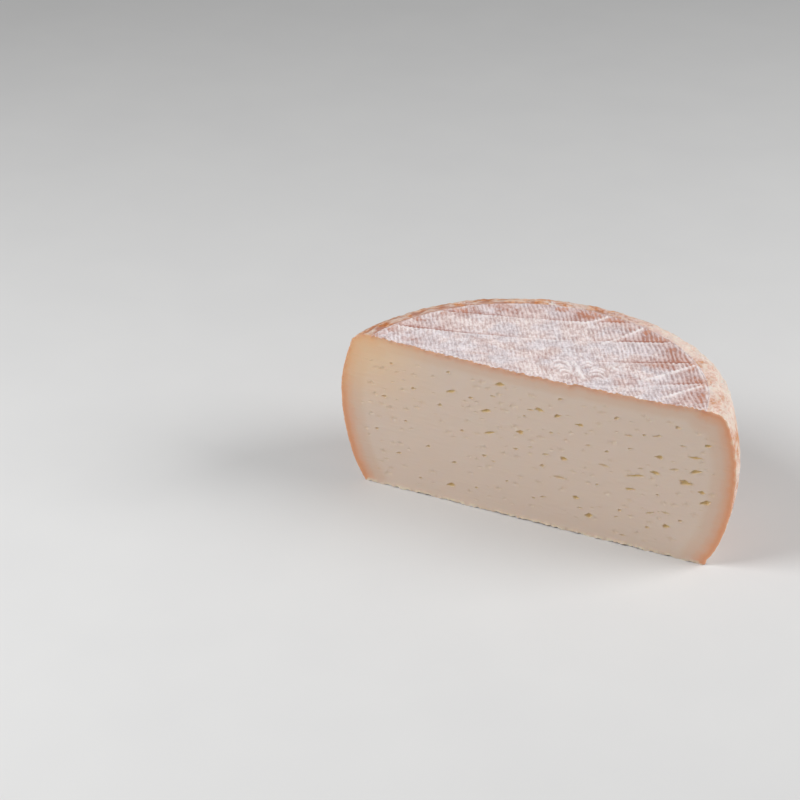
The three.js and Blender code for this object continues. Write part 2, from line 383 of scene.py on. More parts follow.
def pleat_marks(x, y, wander, pleat):
    """Height of one pleat; rind and painted shade in and behind its groove; bloom and painted highlight on
    its ridge.
    """
    start, end, depths, bow = pleat
    along, away, length = along_and_away(x, y, start, end)
    t = unit(along / length)
    middle = 4.0 * t * (1.0 - t)
    beyond = np.maximum(np.maximum(-along, along - length), 0.0)
    share = lerp(1.0, PLEAT_MIDDLE_SHARE, middle) * (1.0 - smoothstep(beyond, 0.0, PLEAT_END))
    depth = lerp(depths[0], depths[1], t) * share
    strength = depth / PLEAT_DEEPEST

    side = away - bow * middle + wander
    groove = np.exp(-np.maximum(side, 0.0) / GROOVE_RUN)
    ridge = np.exp(np.minimum(side, 0.0) / RIDGE_RUN)
    step = smoothstep(side, -STEP_HALF_WIDTH, STEP_HALF_WIDTH)
    floor_end = LINE_WIDEN * depth + LINE_WIDTH
    line = smoothstep(side, -LINE_START, LINE_START)
    line *= 1.0 - smoothstep(side, floor_end, floor_end + LINE_FADE)
    height = depth * lerp((1.0 - GROOVE_SHARE) * ridge, -GROOVE_SHARE * groove, step)

    behind = np.maximum(side - floor_end, 0.0)
    stain = np.clip(1.4 * strength - 0.4, 0.0, WASH_MOST) * np.exp(-behind / WASH_AND_SHADE_RUN)
    before = np.exp(np.minimum(side, 0.0) / RIDGE_WHITE_RUN)
    # In and behind the groove, brown of bare rind and painted shade that fades back; before it, white of
    # bloom and painted highlight.
    return {
        "folds": height - LINE_DEPTH * depth * line,
        "wash": step * np.maximum(stain, 0.7 * strength * np.exp(-behind / (2.0 * WASH_AND_SHADE_RUN))),
        "line": unit(2.3 * strength - 0.6) * line,
        "white": unit(1.5 * strength) * (1.0 - step) * before,
    }


def crease_ridge(x, y, start, end):
    along, away, length = along_and_away(x, y, start, end)
    inside = smoothstep(along, 0.0, PLEAT_END) * (1.0 - smoothstep(along, length - PLEAT_END, length))
    return inside * hump(away, 0.0, CREASE_WIDTH)


def arch_marks(places):
    """Crests of the small folds, the furrows on their near side, and how much of the cloth they hide."""
    crest, furrow, hidden = np.zeros((3, len(places)))
    wander = [ARCH_WANDER * uneven(places, field) for field in ("arch along", "arch across")]
    moved = places[:, :2] + np.column_stack(wander)
    for arch in ARCHES:
        start, through, end = (np.array(place) for place in arch)
        bend = 2.0 * through - (start + end) / 2.0
        for t in np.linspace(0.0, 1.0, ARCH_POINTS):
            point = (1.0 - t) ** 2 * start + 2.0 * t * (1.0 - t) * bend + t ** 2 * end
            share = min(1.0, 5.0 * t + 0.2, 5.0 * (1.0 - t) + 0.2)
            crest = np.maximum(crest, share * spot(moved, point, ARCH_WIDTH))
            furrow = np.maximum(furrow, share * spot(moved, point + ARCH_FURROW, ARCH_WIDTH))
            hidden = np.maximum(hidden, share * spot(moved, point, ARCH_CLEARING))
    broken = patchy(places, "arch broken", 0.9, 0.7, 0.3)
    return broken * crest, broken * furrow * (1.0 - crest), hidden


def fold_marks(x, y, places):
    """Height of the folds in the top, the masks that follow them, and how much of the cloth they hide."""
    marks = {name: np.zeros_like(x) for name in ("folds", "wash", "line", "white")}
    wander = PLEAT_WANDER * uneven(places, "pleat wander")
    for pleat in PLEATS:
        left = pleat_marks(x, y, wander, pleat)
        marks["folds"] += left.pop("folds")
        for name, values in left.items():
            marks[name] = np.maximum(marks[name], values)
    frayed = patchy(places, "pleat fray", 0.8, 0.7, 0.15)
    slack = spot(places[:, :2], *SLACK)
    marks["line"] *= frayed * (1.0 - 0.8 * slack)
    marks["wash"] *= 1.0 - 0.6 * slack
    for start, end, height in CREASES:
        ridge = crease_ridge(x, y, start, end)
        marks["folds"] += height * ridge
        marks["white"] = np.maximum(marks["white"], lerp(0.6, 1.0, frayed) * ridge)
    crest, furrow, hidden = arch_marks(places)
    marks["folds"] += ARCH_HEIGHT * (crest - 0.6 * furrow)
    # Crests whiten, partly as bloom and partly as painted highlight; the furrows under them darken, partly as
    # bare rind and partly as painted shade.
    marks["white"] = np.maximum(marks["white"], crest)
    marks["line"] = np.maximum(marks["line"] * (1.0 - hidden), 0.7 * furrow)
    return marks, hidden


def thread_marks(x, y, places, near_rim, hidden):
    """Height of the cloth's threads, and the marks that they follow in the finish."""
    bend = 0.9 * uneven(places, "thread bend") + 0.3 * uneven(places, "thread kink")
    u = x * math.cos(THREAD_TURN) + y * math.sin(THREAD_TURN) + bend
    v = y * math.cos(THREAD_TURN) - x * math.sin(THREAD_TURN) + bend
    rib = np.cos(2.0 * np.pi * u / RIB_SPACING)
    weft = np.cos(2.0 * np.pi * v / WEFT_SPACING)
    ribbed = patchy(places, "rib share", 0.5 + 0.45 * near_rim, 0.4, 0.3, 0.95)
    worn = patchy(places, "thread wear", 0.6 + 0.3 * near_rim, 0.8, 0.25)
    worn *= lerp(0.6, 1.0, smoothstep(x, -40.0, 40.0))
    pressed = (1.0 - 0.85 * hidden) * worn
    thread = pressed * lerp(0.5 * (rib + weft), rib, ribbed)
    turns = {"rib_turns": u / RIB_SPACING, "weft_turns": v / WEFT_SPACING}
    return THREAD_HEIGHT * thread, {**turns, "ribbed": ribbed, "pressed": pressed}


def lip_height(x, places, from_cut):
    crumbs = sum(LIP_CRUMB * uneven(places, field) for field in ("lip grit", "lip crumbs", "lip lumps"))
    crumbs += LIP_LUMP_RISE * hump(x, *LIP_LUMP)
    return np.exp(-from_cut / LIP_RUN) * (LIP_HEIGHT + crumbs)


def rubbed_bare(places, near_edge, from_cut):
    """How far the bloom is rubbed off: in patches by the rim, in specks along the lip, and at the stains."""
    rubbed = 0.65 * near_edge * smoothstep(uneven(places, "rim rubbed"), 0.1, 0.45)
    specks = 0.9 * np.exp(-from_cut / LIP_BARE_RUN) * smoothstep(uneven(places, "lip bare"), -0.1, 0.3)
    rubbed = np.maximum(rubbed, specks)
    broken = patchy(places, "stain", 0.75, 0.9)
    for centre, reach, bareness in STAINS:
        rubbed = np.maximum(rubbed, bareness * broken * spot(places[:, :2], centre, reach))
    return rubbed


def top_marks(x, y):
    """Height of the top, and the masks that its colours follow."""
    places = flat_places(x, y)
    from_cut = y - CUT_Y
    reach = np.hypot(x, y - AXIS_Y)
    out = reach - CLOTH_RADIUS
    inside = 1.0 - smoothstep(out, -2.0, -0.4)
    near_edge = smoothstep(out, -9.0, -1.0)
    near_rim = smoothstep(out, -30.0, -4.0)
    folds, hidden = fold_marks(x, y, places)
    thread_height, threads = thread_marks(x, y, places, near_rim, hidden)

    bead = patchy(places, "rim bead", 0.6, 0.9, 0.0, 1.2)
    bead *= hump(out, -RIM_BEAD_WIDTH, 0.5 * RIM_BEAD_WIDTH)
    dusted = lerp(0.3, 0.95, smoothstep(x, 30.0, 65.0))
    crumple = rim_wave(np.arctan2(x, y - AXIS_Y)) * smoothstep(out, -5.0, 0.0)
    relief = folds["folds"] + thread_height + lip_height(x, places, from_cut)

    fan = near_rim * smoothstep(x, 5.0, 45.0)
    # Bare rind, with the pleats' painted shade carried along.
    wash = np.maximum(folds["wash"], rubbed_bare(places, near_edge, from_cut))
    wash += 0.2 * fan + 0.1 * near_rim + 0.2 * uneven(places, "wash")
    wash += 0.18 * smoothstep(y, 4.0, 30.0) - 0.3 * hidden
    lip_white = np.exp(-from_cut / LIP_WHITE_RUN) * patchy(places, "lip white", 0.55, 0.9)
    return {
        "height": dish_height(reach) + inside * relief + RIM_BEAD_HEIGHT * bead + crumple,
        "wash": unit(wash),
        "line": folds["line"] * inside,
        "white": np.maximum(folds["white"] * inside, np.maximum(dusted * bead, lip_white)),
        "near_rim": near_edge,
        **threads,
    }


# The eyes

def scattered_eyes(steps, rule, taken):
    """Eyes wherever a step lands clear of the eyes that are there and of the rind."""
    size, scales, spacing = rule
    eyes = list(taken)
    for part_x, part_z, part_size in steps:
        x = (2.0 * part_x - 1.0) * BELLY_RADIUS
        z = lerp(*EYE_FIELD, part_z)
        half_width = math.sqrt(flank_radius(z) ** 2 - CUT_PAST_AXIS ** 2)
        crowded = any(math.hypot(eye[0] - x, eye[1] - z) <= spacing for eye in eyes)
        if abs(x) < half_width - EYE_FROM_RIND and not crowded:
            scale = lerp(*scales, part_size)
            eyes.append((x, z, size[0] * scale, size[1] * scale))
    return eyes[len(taken):]


def all_eyes():
    """Large eyes, small ones, slits, and dents where the knife only touched an eye, with their tints."""
    even = [[step * stride % 1.0 for stride in SMALL_EYE_STEPS] for step in range(1, SMALL_EYE_TRIES + 1)]
    small = scattered_eyes(even, SMALL_EYES, LARGE_EYES)
    slits = [(x, z, SLIT_RUN_OUT * length, SLIT_HEIGHT * length + SLIT_LEAST_HEIGHT) for x, z, length in SLITS
             if all(math.hypot(eye[0] - x, eye[1] - z) > SLIT_SPACING for eye in small)]
    drawn = np.random.default_rng(FAINT_EYE_SEED).random((FAINT_EYE_TRIES, 3))
    faint = scattered_eyes(drawn, FAINT_EYES, (*LARGE_EYES, *small, *slits))
    groups = ((LARGE_EYES, 1.0), (small, SMALL_EYE_TINT), (slits, SLIT_TINT), (faint, FAINT_EYE_TINT))
    return [(*eye, tint) for eyes, tint in groups for eye in eyes]


def eye_corners(eye, number):
    """Places on the cut round one eye, ring by ring, with their depth and how much they are eye.

    An eye is a ragged hollow that is widest off its middle and runs out in a thin slit.
    """
    x, z, length, height, tint = eye
    faint = tint == FAINT_EYE_TINT
    share = FAINT_EYE_SHARE if faint else 1.0
    tilt = EYE_LEAN + EYE_TILT * math.sin(EYE_TILT_STEP * number)
    turns = np.linspace(0.0, 2.0 * np.pi, FAINT_EYE_CORNERS if faint else EYE_CORNERS, endpoint=False)
    rough = flat_places(np.cos(turns), np.sin(turns)) + number
    ragged = 1.1 + 0.4 * uneven(rough, "eye edge") + 0.15 * uneven(rough, "eye nick")
    widest = EYE_WIDEST * math.sin(EYE_WIDEST_STEP * number)
    wide = EYE_SLIT + (EYE_WIDTH - EYE_SLIT) * hump(np.cos(turns), widest, EYE_WIDEST_RUN)
    blunt = np.sign(np.sin(turns)) * np.abs(np.sin(turns)) ** EYE_BLUNT
    corners, depths, masks = [], [], []
    for ring in FAINT_EYE_RINGS if faint else EYE_RINGS:
        along = 0.5 * length * ring * ragged * np.cos(turns)
        across = 0.5 * height * ring * ragged * wide * blunt
        keep = slice(0, 1) if ring == 0.0 else slice(None)
        corners.append(np.column_stack((
            x + along * math.cos(tilt) - across * math.sin(tilt),
            z + along * math.sin(tilt) + across * math.cos(tilt)))[keep])
        fall = max(1.0 - ring ** 2, 0.0) ** 0.6
        lip = EYE_LIP * math.exp(-((ring - 1.12) / 0.15) ** 2)
        depth = share * (EYE_DEPTH * height * fall * (0.5 + 0.5 * wide) - lip)
        depths.append(depth[keep])
        masks.append(np.full(len(corners[-1]), tint * float(1.0 - smoothstep(ring, 0.55, 1.35))))
    return np.concatenate(corners), np.concatenate(depths), np.concatenate(masks)


# The mesh, face by face

class Body:
    """Corners, faces and per-corner marks of the piece while it is put together."""

    MARKS = ("rib_turns", "weft_turns", "ribbed", "pressed", "wash", "line", "white", "near_rim",
             "rind_gap", "eye", "bloom", "rosy", "cream")

    def __init__(self):
        self.places = np.zeros((0, 3))
        self.marks = {name: np.zeros(0) for name in self.MARKS}
        self.faces = []
        self.kinds = []
        self.unrolled = np.zeros((0, 2))

    def add(self, places, **marks):
        first = len(self.places)
        self.places = np.vstack((self.places, places))
        for name in self.MARKS:
            values = marks.get(name, np.zeros(len(places)))
            self.marks[name] = np.concatenate((self.marks[name], np.broadcast_to(values, len(places))))
        return np.arange(first, len(self.places))

    def cover(self, faces, kind):
        self.faces.extend(faces)
        self.kinds.extend([kind] * len(faces))

    def fill(self, outline, inner, axes, kind, flip=False):
        """Triangles over the region inside an outline, through the corners inside it."""
        ids = np.concatenate((outline, inner))
        flat = [Vector(place) for place in self.places[ids][:, axes].tolist()]
        count = len(outline)
        edges = [(i, (i + 1) % count) for i in range(count)]
        made = delaunay_2d_cdt(flat, edges, [], 1, 1e-7, True)
        faces = np.array([old[0] for old in made[3]])[np.array(made[2])]
        corners = self.places[ids][:, axes]
        faces = faces[inside_outline(corners[faces].mean(axis=1), corners[:count])]
        order = [0, 2, 1] if flip else [0, 1, 2]
        self.cover([tuple(face) for face in ids[faces][:, order].tolist()], kind)


def profile_rows():
    """Radius, height and outward tilt of the flank's rows, from the foot over the shoulder to the rim."""
    foot = np.arange(0.0, FOOT_FINE, FOOT_STEP)
    flank = np.linspace(FOOT_FINE, SHOULDER_START, int((SHOULDER_START - FOOT_FINE) / FLANK_STEP) + 1)
    heights = np.concatenate((foot, flank))
    radii = flank_radius(heights)
    tilts = SHOULDER_LEAN * unit((heights - BELLY_HEIGHT) / (SHOULDER_START - BELLY_HEIGHT))
    steps = int(SHOULDER_RADIUS * (math.pi / 2 - SHOULDER_LEAN) / SHOULDER_STEP)
    turns = np.linspace(SHOULDER_LEAN, math.pi / 2, steps + 1)[1:]
    flat = np.linspace(RIM_RADIUS, CLOTH_RADIUS, int(CLOTH_FROM_RIM / SHOULDER_STEP) + 1)[1:]
    return (np.concatenate((radii, RIM_RADIUS + SHOULDER_RADIUS * np.cos(turns), flat)),
            np.concatenate((heights, HEIGHT - SHOULDER_RADIUS * (1.0 - np.sin(turns)), dish_height(flat))),
            np.concatenate((tilts, turns, np.full_like(flat, math.pi / 2))))


def gathers(angle, radius, z):
    """Crests of the gathered folds round the shoulder, long round the wheel and narrow up it, from 0 to 1."""
    drawn_out = flat_places(radius * angle / GATHER_DRAW, z - radius)
    field = smoothstep(z, HEIGHT - 9.0, HEIGHT - 3.0) * smoothstep(radius, CLOTH_RADIUS, CLOTH_RADIUS + 1.0)
    return field * unit(1.0 - 4.0 * np.abs(uneven(drawn_out, "gathers")))


def foot_lip(places, z):
    """The lip that the rind forms round the foot here and there, with a groove above it."""
    wave = uneven(places, "foot lip")
    lip = FOOT_LIP_RISE * hump(z, *FOOT_LIP)
    lip -= FOOT_GROOVE_DEPTH * hump(z - FOOT_GROOVE_WANDER * wave, *FOOT_GROOVE)
    return lip * (unit(0.45 + 1.3 * wave) * smoothstep(z, -0.1, 0.4))


def flank_relief(angle, radius, z):
    """How far the rind stands out: slow lumps, a crumpled rim, shallow pits, streaks and the foot's lip."""
    places = np.column_stack((radius * np.sin(angle), radius * np.cos(angle), z))
    drawn_out = flat_places(radius * angle / STREAK_DRAW[0], z / STREAK_DRAW[1])
    pits = -PIT_DEPTH * unit(uneven(places, "pits")) + SWELL_HEIGHT * uneven(places, "swells")
    streaks = STREAK_HEIGHT * uneven(drawn_out, "streaks") + CRUMB_HEIGHT * uneven(places, "crumbs")
    crumple = rim_wave(angle) * smoothstep(z, HEIGHT - 5.0, HEIGHT - 0.2)
    crumple += GATHER_HEIGHT * gathers(angle, radius, z)
    quiet = smoothstep(z, 0.0, 1.5) * smoothstep(radius, CLOTH_RADIUS, CLOTH_RADIUS + 2.0)
    return lump_height(angle, z) + quiet * (pits + streaks) + foot_lip(places, z) + crumple


def flank_marks(places, angle, radius):
    """The masks that the rind's colours follow."""
    x, z = places[:, 0], places[:, 2]
    rim = smoothstep(z + 3.0 * uneven(places, "rim bloom"), HEIGHT - 10.0, HEIGHT - 4.0)
    foot = 1.0 - smoothstep(z, 2.0, 12.0)
    # Towards the right end the rind is whiter, partly bloom and partly painted light where the rim lamp
    # falls.
    right = smoothstep(x, 55.0, 95.0)
    orange = np.maximum.reduce([spot(places, *stain) for stain in RIM_STAINS])
    dusty = smoothstep(x, 0.0, 40.0)
    left = smoothstep(-x, 15.0, 70.0)
    cover = 0.52 + 0.05 * foot + 0.04 * right - 0.13 * orange + rim * (0.15 * dusty - 0.05 * left - 0.06)
    seam = 1.0 - smoothstep(radius - CLOTH_RADIUS + 2.5 * uneven(places, "seam"), 1.5, 8.0)
    # Whitish patches on the right end of the flank, partly mould and partly painted light from the rim lamp.
    dusting_and_light = patchy(places, "dusting_and_light", 0.35, 1.3, 0.0, 0.7) * smoothstep(x, 80.0, 96.0)
    dusting_and_light *= smoothstep(z, 32.0, 58.0) * (1.0 - 0.9 * orange)
    return {
        "near_rim": 1.0,
        "rind_gap": SKIN_GAP,
        "bloom": unit(cover),
        "rosy": seam * rim * (1.0 - 0.75 * smoothstep(x, 30.0, 65.0)),
        "white": np.maximum(0.7 * gathers(angle, radius, z), dusting_and_light),
        "line": 1.0 - smoothstep(z + 0.4 * uneven(places, "foot line"), 0.5, 1.4),
    }


def add_flank(body):
    """The rind from foot to rim as a grid, whose end columns lie on the cut. Returns the grid of corners."""
    radii, heights, tilts = profile_rows()
    sweep = np.tile(np.linspace(-1.0, 1.0, FLANK_COLUMNS), len(radii))
    radius, z, tilt = (np.repeat(rows, FLANK_COLUMNS) for rows in (radii, heights, tilts))
    relief = flank_relief(sweep * np.arccos(CUT_PAST_AXIS / radius), radius, z)
    radius = radius + relief * np.cos(tilt)
    z = np.maximum(z + relief * np.sin(tilt), 0.0)
    angle = sweep * np.arccos(CUT_PAST_AXIS / radius)
    places = np.column_stack((radius * np.sin(angle), AXIS_Y + radius * np.cos(angle), z))
    ids = body.add(places, **flank_marks(places, angle, radius)).reshape(len(radii), FLANK_COLUMNS)
    quads = np.stack((ids[:-1, :-1], ids[1:, :-1], ids[1:, 1:], ids[:-1, 1:]), axis=-1).reshape(-1, 4)
    body.cover([tuple(quad) for quad in quads.tolist()], FLANK)
    up = np.concatenate(([0.0], np.cumsum(np.hypot(np.diff(radii), np.diff(heights)))))
    around = sweep[:FLANK_COLUMNS] * BELLY_RADIUS * math.acos(CUT_PAST_AXIS / BELLY_RADIUS)
    body.unrolled = np.stack(np.meshgrid(around - around[0], up), axis=-1).reshape(-1, 2)
    return ids


def lattice(low, high, steps, turn=0.0):
    """A brick-laid grid of places that covers a box, turned about its middle."""
    middle = (np.array(low) + np.array(high)) / 2.0
    half = 0.5 * math.hypot(high[0] - low[0], high[1] - low[1])
    u = np.arange(-half, half, steps[0])
    v = np.arange(-half, half, steps[1])
    grid_u, grid_v = np.meshgrid(u, v)
    grid_u = grid_u + 0.5 * steps[0] * (np.arange(len(v)) % 2)[:, None]
    x = middle[0] + grid_u * math.cos(turn) - grid_v * math.sin(turn)
    y = middle[1] + grid_u * math.sin(turn) + grid_v * math.cos(turn)
    return x.ravel(), y.ravel()


def half_disc(span, radius, steps, clear, turn=0.0):
    """A lattice over the part of a disc that the knife left, clear of its edges."""
    x, y = lattice((-span, CUT_Y), (span, AXIS_Y + span), steps, turn)
    inside = (np.hypot(x, y - AXIS_Y) < radius - clear[0]) & (y > CUT_Y + clear[1])
    return x[inside], y[inside]


def edge_between(body, left, right, step, edge):
    """Corners along the cut's upper or lower edge, from left to right between its end corners."""
    start, end = body.places[left], body.places[right]
    count = int((end[0] - start[0]) / step)
    x = np.linspace(start[0], end[0], count + 1)[1:-1]
    y, z, marks = edge(x, np.full_like(x, CUT_Y))
    return body.add(np.column_stack((x, y, z)), **marks)


def top_edge(x, y):
    """The upper edge is crumbly, and leans out over the paste here and there."""
    places = flat_places(x, y)
    marks = top_marks(x, y)
    out = patchy(places, "lip nick", 0.4 + 0.8 * uneven(places, "lip out"), 0.6)
    paste_marks = {"rind_gap": TOP_START, "white": 0.3 * marks["white"]}
    return y - LIP_OUT * out, marks.pop("height"), {**marks, **paste_marks}


def foot_edge(x, y):
    """The lower edge is ragged where the rind under the knife has chipped."""
    places = flat_places(x, y)
    chips = patchy(places, "foot nick", 0.4 + 0.8 * uneven(places, "foot chips"), 0.6, 0.0, 0.8)
    ends = smoothstep(FOOT_RADIUS - np.abs(x), 1.5, 6.0)
    out = patchy(places, "foot out", 0.3, 1.0)
    white = patchy(places, "foot white", 0.55, 0.9)
    return y - LIP_OUT * out, chips * ends, {"rind_gap": FOOT_START, "white": white}


def add_top(body, rim, front):
    x, y = half_disc(RIM_RADIUS, CLOTH_RADIUS, TOP_STEP, TOP_CLEAR, THREAD_TURN)
    marks = top_marks(x, y)
    inner = body.add(np.column_stack((x, y, marks.pop("height"))), **marks)
    body.fill(np.concatenate((front, rim[::-1])), inner, [0, 1], TOP)


def add_underside(body, foot, front):
    x, y = half_disc(FOOT_RADIUS, FOOT_RADIUS, UNDERSIDE_STEP, UNDERSIDE_CLEAR)
    inner = body.add(flat_places(x, y))
    body.fill(np.concatenate((front, foot[::-1])), inner, [0, 1], UNDERSIDE, flip=True)


def distance_to(places, line):
    """Least distance from flat places to the corners of a line."""
    return np.array([np.hypot(*(line - place).T).min() for place in places])


def add_cut(body, left, upper, right, lower):
    """The cut face, with the eyes sunk in it and the paste a little behind the rind's edge."""
    outline = np.concatenate((lower, right, upper[::-1], left[::-1]))
    ends, top, foot, edge = (body.places[line][:, [0, 2]] for line in (
        np.concatenate((left, right)), upper, lower, outline))
    eyes = all_eyes()
    rings = [eye_corners(eye, number) for number, eye in enumerate(eyes)]

    x, z = lattice((LOW[0], 0.0), (HIGH[0], HEIGHT), CUT_STEP)
    half_width = np.sqrt(np.maximum(flank_radius(z) ** 2 - CUT_PAST_AXIS ** 2, 0.0))
    keep = (np.abs(x) < half_width) & (z > 0.0) & (z < HEIGHT)
    for eye in eyes:
        across, up = EYE_CLEAR[0] * eye[2], EYE_CLEAR[1] * eye[3]
        keep &= np.hypot((x - eye[0]) / across, (z - eye[1]) / up) > 1.0
    grid = np.column_stack((x[keep], z[keep]))
    grid = grid[inside_outline(grid, edge) & (distance_to(grid, edge) > CUT_CLEAR)]

    places, depths, masks = zip((grid, np.zeros(len(grid)), np.zeros(len(grid))), *rings)
    flat = np.concatenate(places)
    gap = np.minimum.reduce((
        distance_to(flat, ends) / BAND,
        TOP_START + TOP_FADE * distance_to(flat, top) / BAND,
        FOOT_START + FOOT_FADE * distance_to(flat, foot) / BAND,
        np.ones(len(flat))))
    sunk = PASTE_SUNK * smoothstep(distance_to(flat, edge), 0.5, 2.5) + np.concatenate(depths)
    corner = (1.0 - smoothstep(flat[:, 0], -90.0, -40.0)) * smoothstep(flat[:, 1], 30.0, 75.0)
    inner = body.add(np.column_stack((flat[:, 0], CUT_Y + sunk, flat[:, 1])),
                     rind_gap=gap, eye=np.concatenate(masks), cream=corner)
    body.fill(outline, inner, [0, 2], CUT)


def put_together():
    """The whole piece, and the rows of corners along its sharp edges."""
    body = Body()
    grid = add_flank(body)
    rim, foot, left, right = grid[-1], grid[0], grid[:, 0], grid[:, -1]
    rim_front = edge_between(body, rim[0], rim[-1], EDGE_STEP, top_edge)
    foot_front = edge_between(body, foot[0], foot[-1], FOOT_EDGE_STEP, foot_edge)
    add_top(body, rim, rim_front)
    add_underside(body, foot, foot_front)
    add_cut(body, left, rim_front, right, foot_front)
    return body, np.concatenate((foot_front, right, rim_front[::-1], left[::-1])), foot


def pair_codes(a, b, count):
    """One number for each pair out of so many corners, whichever comes first."""
    return np.minimum(a, b).astype(np.int64) * count + np.maximum(a, b)


def flat_map(body, corners, kinds):
    """Where each corner of each face lies on the map that the finishes are baked on."""
    x, y, z = body.places[corners].T
    flank = body.unrolled[np.minimum(corners, len(body.unrolled) - 1)]
    width, height = body.unrolled.max(axis=0)
    second = height + MAP_MARGIN
    third = second + HIGH[2] + 2.0 * MAP_MARGIN
    column = HIGH[0] - LOW[0] + MAP_MARGIN
    sheets = (
        flank,
        np.column_stack((x + CLOTH_RADIUS, y - CUT_Y + third)),
        np.column_stack((x - LOW[0], z + second)),
        np.column_stack((y - CUT_Y + column, x + FOOT_RADIUS + second)),
    )
    places = np.choose(np.array(kinds)[:, None], sheets) + MAP_MARGIN
    return places / (width + 2.0 * MAP_MARGIN)


def make_mesh():
    body, cut_loop, foot_row = put_together()
    mesh = bpy.data.meshes.new("goat_cheese")
    mesh.from_pydata((body.places * MM).tolist(), [], body.faces)
    mesh.polygons.foreach_set("material_index", body.kinds)
    mesh.polygons.foreach_set("use_smooth", [True] * len(body.faces))
    corners = np.concatenate([np.array(face) for face in body.faces])
    kinds = np.repeat(body.kinds, [len(face) for face in body.faces])
    bake_map = mesh.uv_layers.new(name="OFBake")
    bake_map.data.foreach_set("uv", flat_map(body, corners, kinds).ravel())
    for name, values in body.marks.items():
        mesh.attributes.new(name, "FLOAT", "POINT").data.foreach_set("value", values)
    ends = np.zeros(2 * len(mesh.edges), np.int32)
    mesh.edges.foreach_get("vertices", ends)
    starts = np.concatenate((cut_loop, foot_row[:-1]))
    nexts = np.concatenate((np.roll(cut_loop, -1), foot_row[1:]))
    count = len(body.places)
    sharp = np.isin(pair_codes(ends[0::2], ends[1::2], count), pair_codes(starts, nexts, count))
    mesh.edges.foreach_set("use_edge_sharp", sharp)
    mesh.update()
    return mesh


# Shader nodes

def feed(tree, node, inputs):
    """Give a node its inputs, each a plain value or another node's output."""
    for socket, value in inputs.items():
        if isinstance(value, bpy.types.NodeSocket):
            tree.links.new(value, node.inputs[socket])
        else:
            node.inputs[socket].default_value = value


def add_node(tree, kind, inputs, **settings):
    made = tree.nodes.new("ShaderNode" + kind)
    for name, value in settings.items():
        setattr(made, name, value)
    feed(tree, made, inputs)
    return made


def math_node(tree, operation, a, b=0.0):
    return add_node(tree, "Math", {0: a, 1: b}, operation=operation).outputs[0]


def times(tree, a, b):
    return math_node(tree, "MULTIPLY", a, b)


def weigh(tree, *parts):
    """Sum of values, each times its share."""
    total = None
    for value, share in parts:
        part = times(tree, value, share)
        total = part if total is None else math_node(tree, "ADD", total, part)
    return total


def mix(tree, share, a, b):
    return add_node(tree, "Mix", {0: share, 6: a, 7: b}, data_type="RGBA").outputs[2]


def stretch(tree, value, low, high, to_low=0.0, to_high=1.0):
    return add_node(tree, "MapRange", {0: value, 1: low, 2: high, 3: to_low, 4: to_high},
                    interpolation_type="SMOOTHSTEP").outputs[0]


def speckle(tree, vector, size, detail=3.0, roughness=0.55):
    """Noise whose blotches are about the given size across, in millimetres."""
    return add_node(tree, "TexNoise", {"Vector": vector, "Scale": 1.0 / (size * MM), "Detail": detail,
                                       "Roughness": roughness}).outputs["Fac"]


def drawn_along(tree, vector, scale, turn=0.0):
    """The vector drawn out, so that a noise on it gives fibres."""
    return add_node(tree, "Mapping", {"Vector": vector, "Rotation": (0.0, 0.0, turn), "Scale": scale},
                    vector_type="TEXTURE").outputs[0]


def mark(tree, name):
    return add_node(tree, "Attribute", {}, attribute_name=name, attribute_type="GEOMETRY").outputs["Fac"]


def colour(red, green, blue):
    """Linear colour from the 0 to 255 values that a picture shows."""
    parts = [value / 255.0 for value in (red, green, blue)]
    return (*(part / 12.92 if part <= 0.04045 else ((part + 0.055) / 1.055) ** 2.4 for part in parts), 1.0)


def ramp(tree, value, stops):
    """A scale of colours. Each stop is a place on it and the 0 to 255 values there."""
    made = add_node(tree, "ValToRGB", {"Fac": value})
    elements = made.color_ramp.elements
    while len(elements) < len(stops):
        elements.new(1.0)
    for element, (place, tint) in zip(elements, stops):
        element.position = place
        element.color = colour(*tint)
    return made.outputs["Color"]


def new_group(name, inputs, outputs):
    """An empty shader group with named sockets: a vector, numbers with plain values, and what it puts out."""
    tree = bpy.data.node_groups.new(name, "ShaderNodeTree")
    tree.interface.new_socket("Vector", in_out="INPUT", socket_type="NodeSocketVector")
    for label, value in inputs.items():
        tree.interface.new_socket(label, in_out="INPUT", socket_type="NodeSocketFloat").default_value = value
    for label in outputs:
        tree.interface.new_socket(label, in_out="OUTPUT", socket_type="NodeSocketFloat")
    return tree, tree.nodes.new("NodeGroupInput").outputs, tree.nodes.new("NodeGroupOutput")


def use_group(tree, group, inputs):
    return add_node(tree, "Group", inputs, node_tree=group).outputs


BLOOM_EDGE = 0.16


def bloom_group():
    """White bloom over bare rind: broad patches, broken up through every size down to a fine grain."""
    tree, given, out = new_group("Bloom growth", {"Cover": 0.5}, ("Mask",))
    patches = speckle(tree, given["Vector"], 22.0, 8.0, 0.74)
    tufts = speckle(tree, given["Vector"], 1.8, 3.0, 0.65)
    both = weigh(tree, (patches, 0.64), (tufts, 0.36))
    level = math_node(tree, "SUBTRACT", 1.0, given["Cover"])
    low = math_node(tree, "SUBTRACT", level, BLOOM_EDGE)
    high = math_node(tree, "ADD", level, BLOOM_EDGE)
    feed(tree, out, {"Mask": stretch(tree, both, low, high)})
    return tree


def grain_group():
    """Fine unevenness of the rind, as a height and as a tint around one half."""
    tree, given, out = new_group("Rind grain", {}, ("Height", "Tint"))
    crumbs = speckle(tree, given["Vector"], 1.3, 3.0, 0.65)
    dust = speckle(tree, given["Vector"], 0.45, 2.0, 0.5)
    height = weigh(tree, (crumbs, 0.65), (dust, 0.35))
    feed(tree, out, {"Height": height, "Tint": stretch(tree, height, 0.3, 0.7)})
    return tree


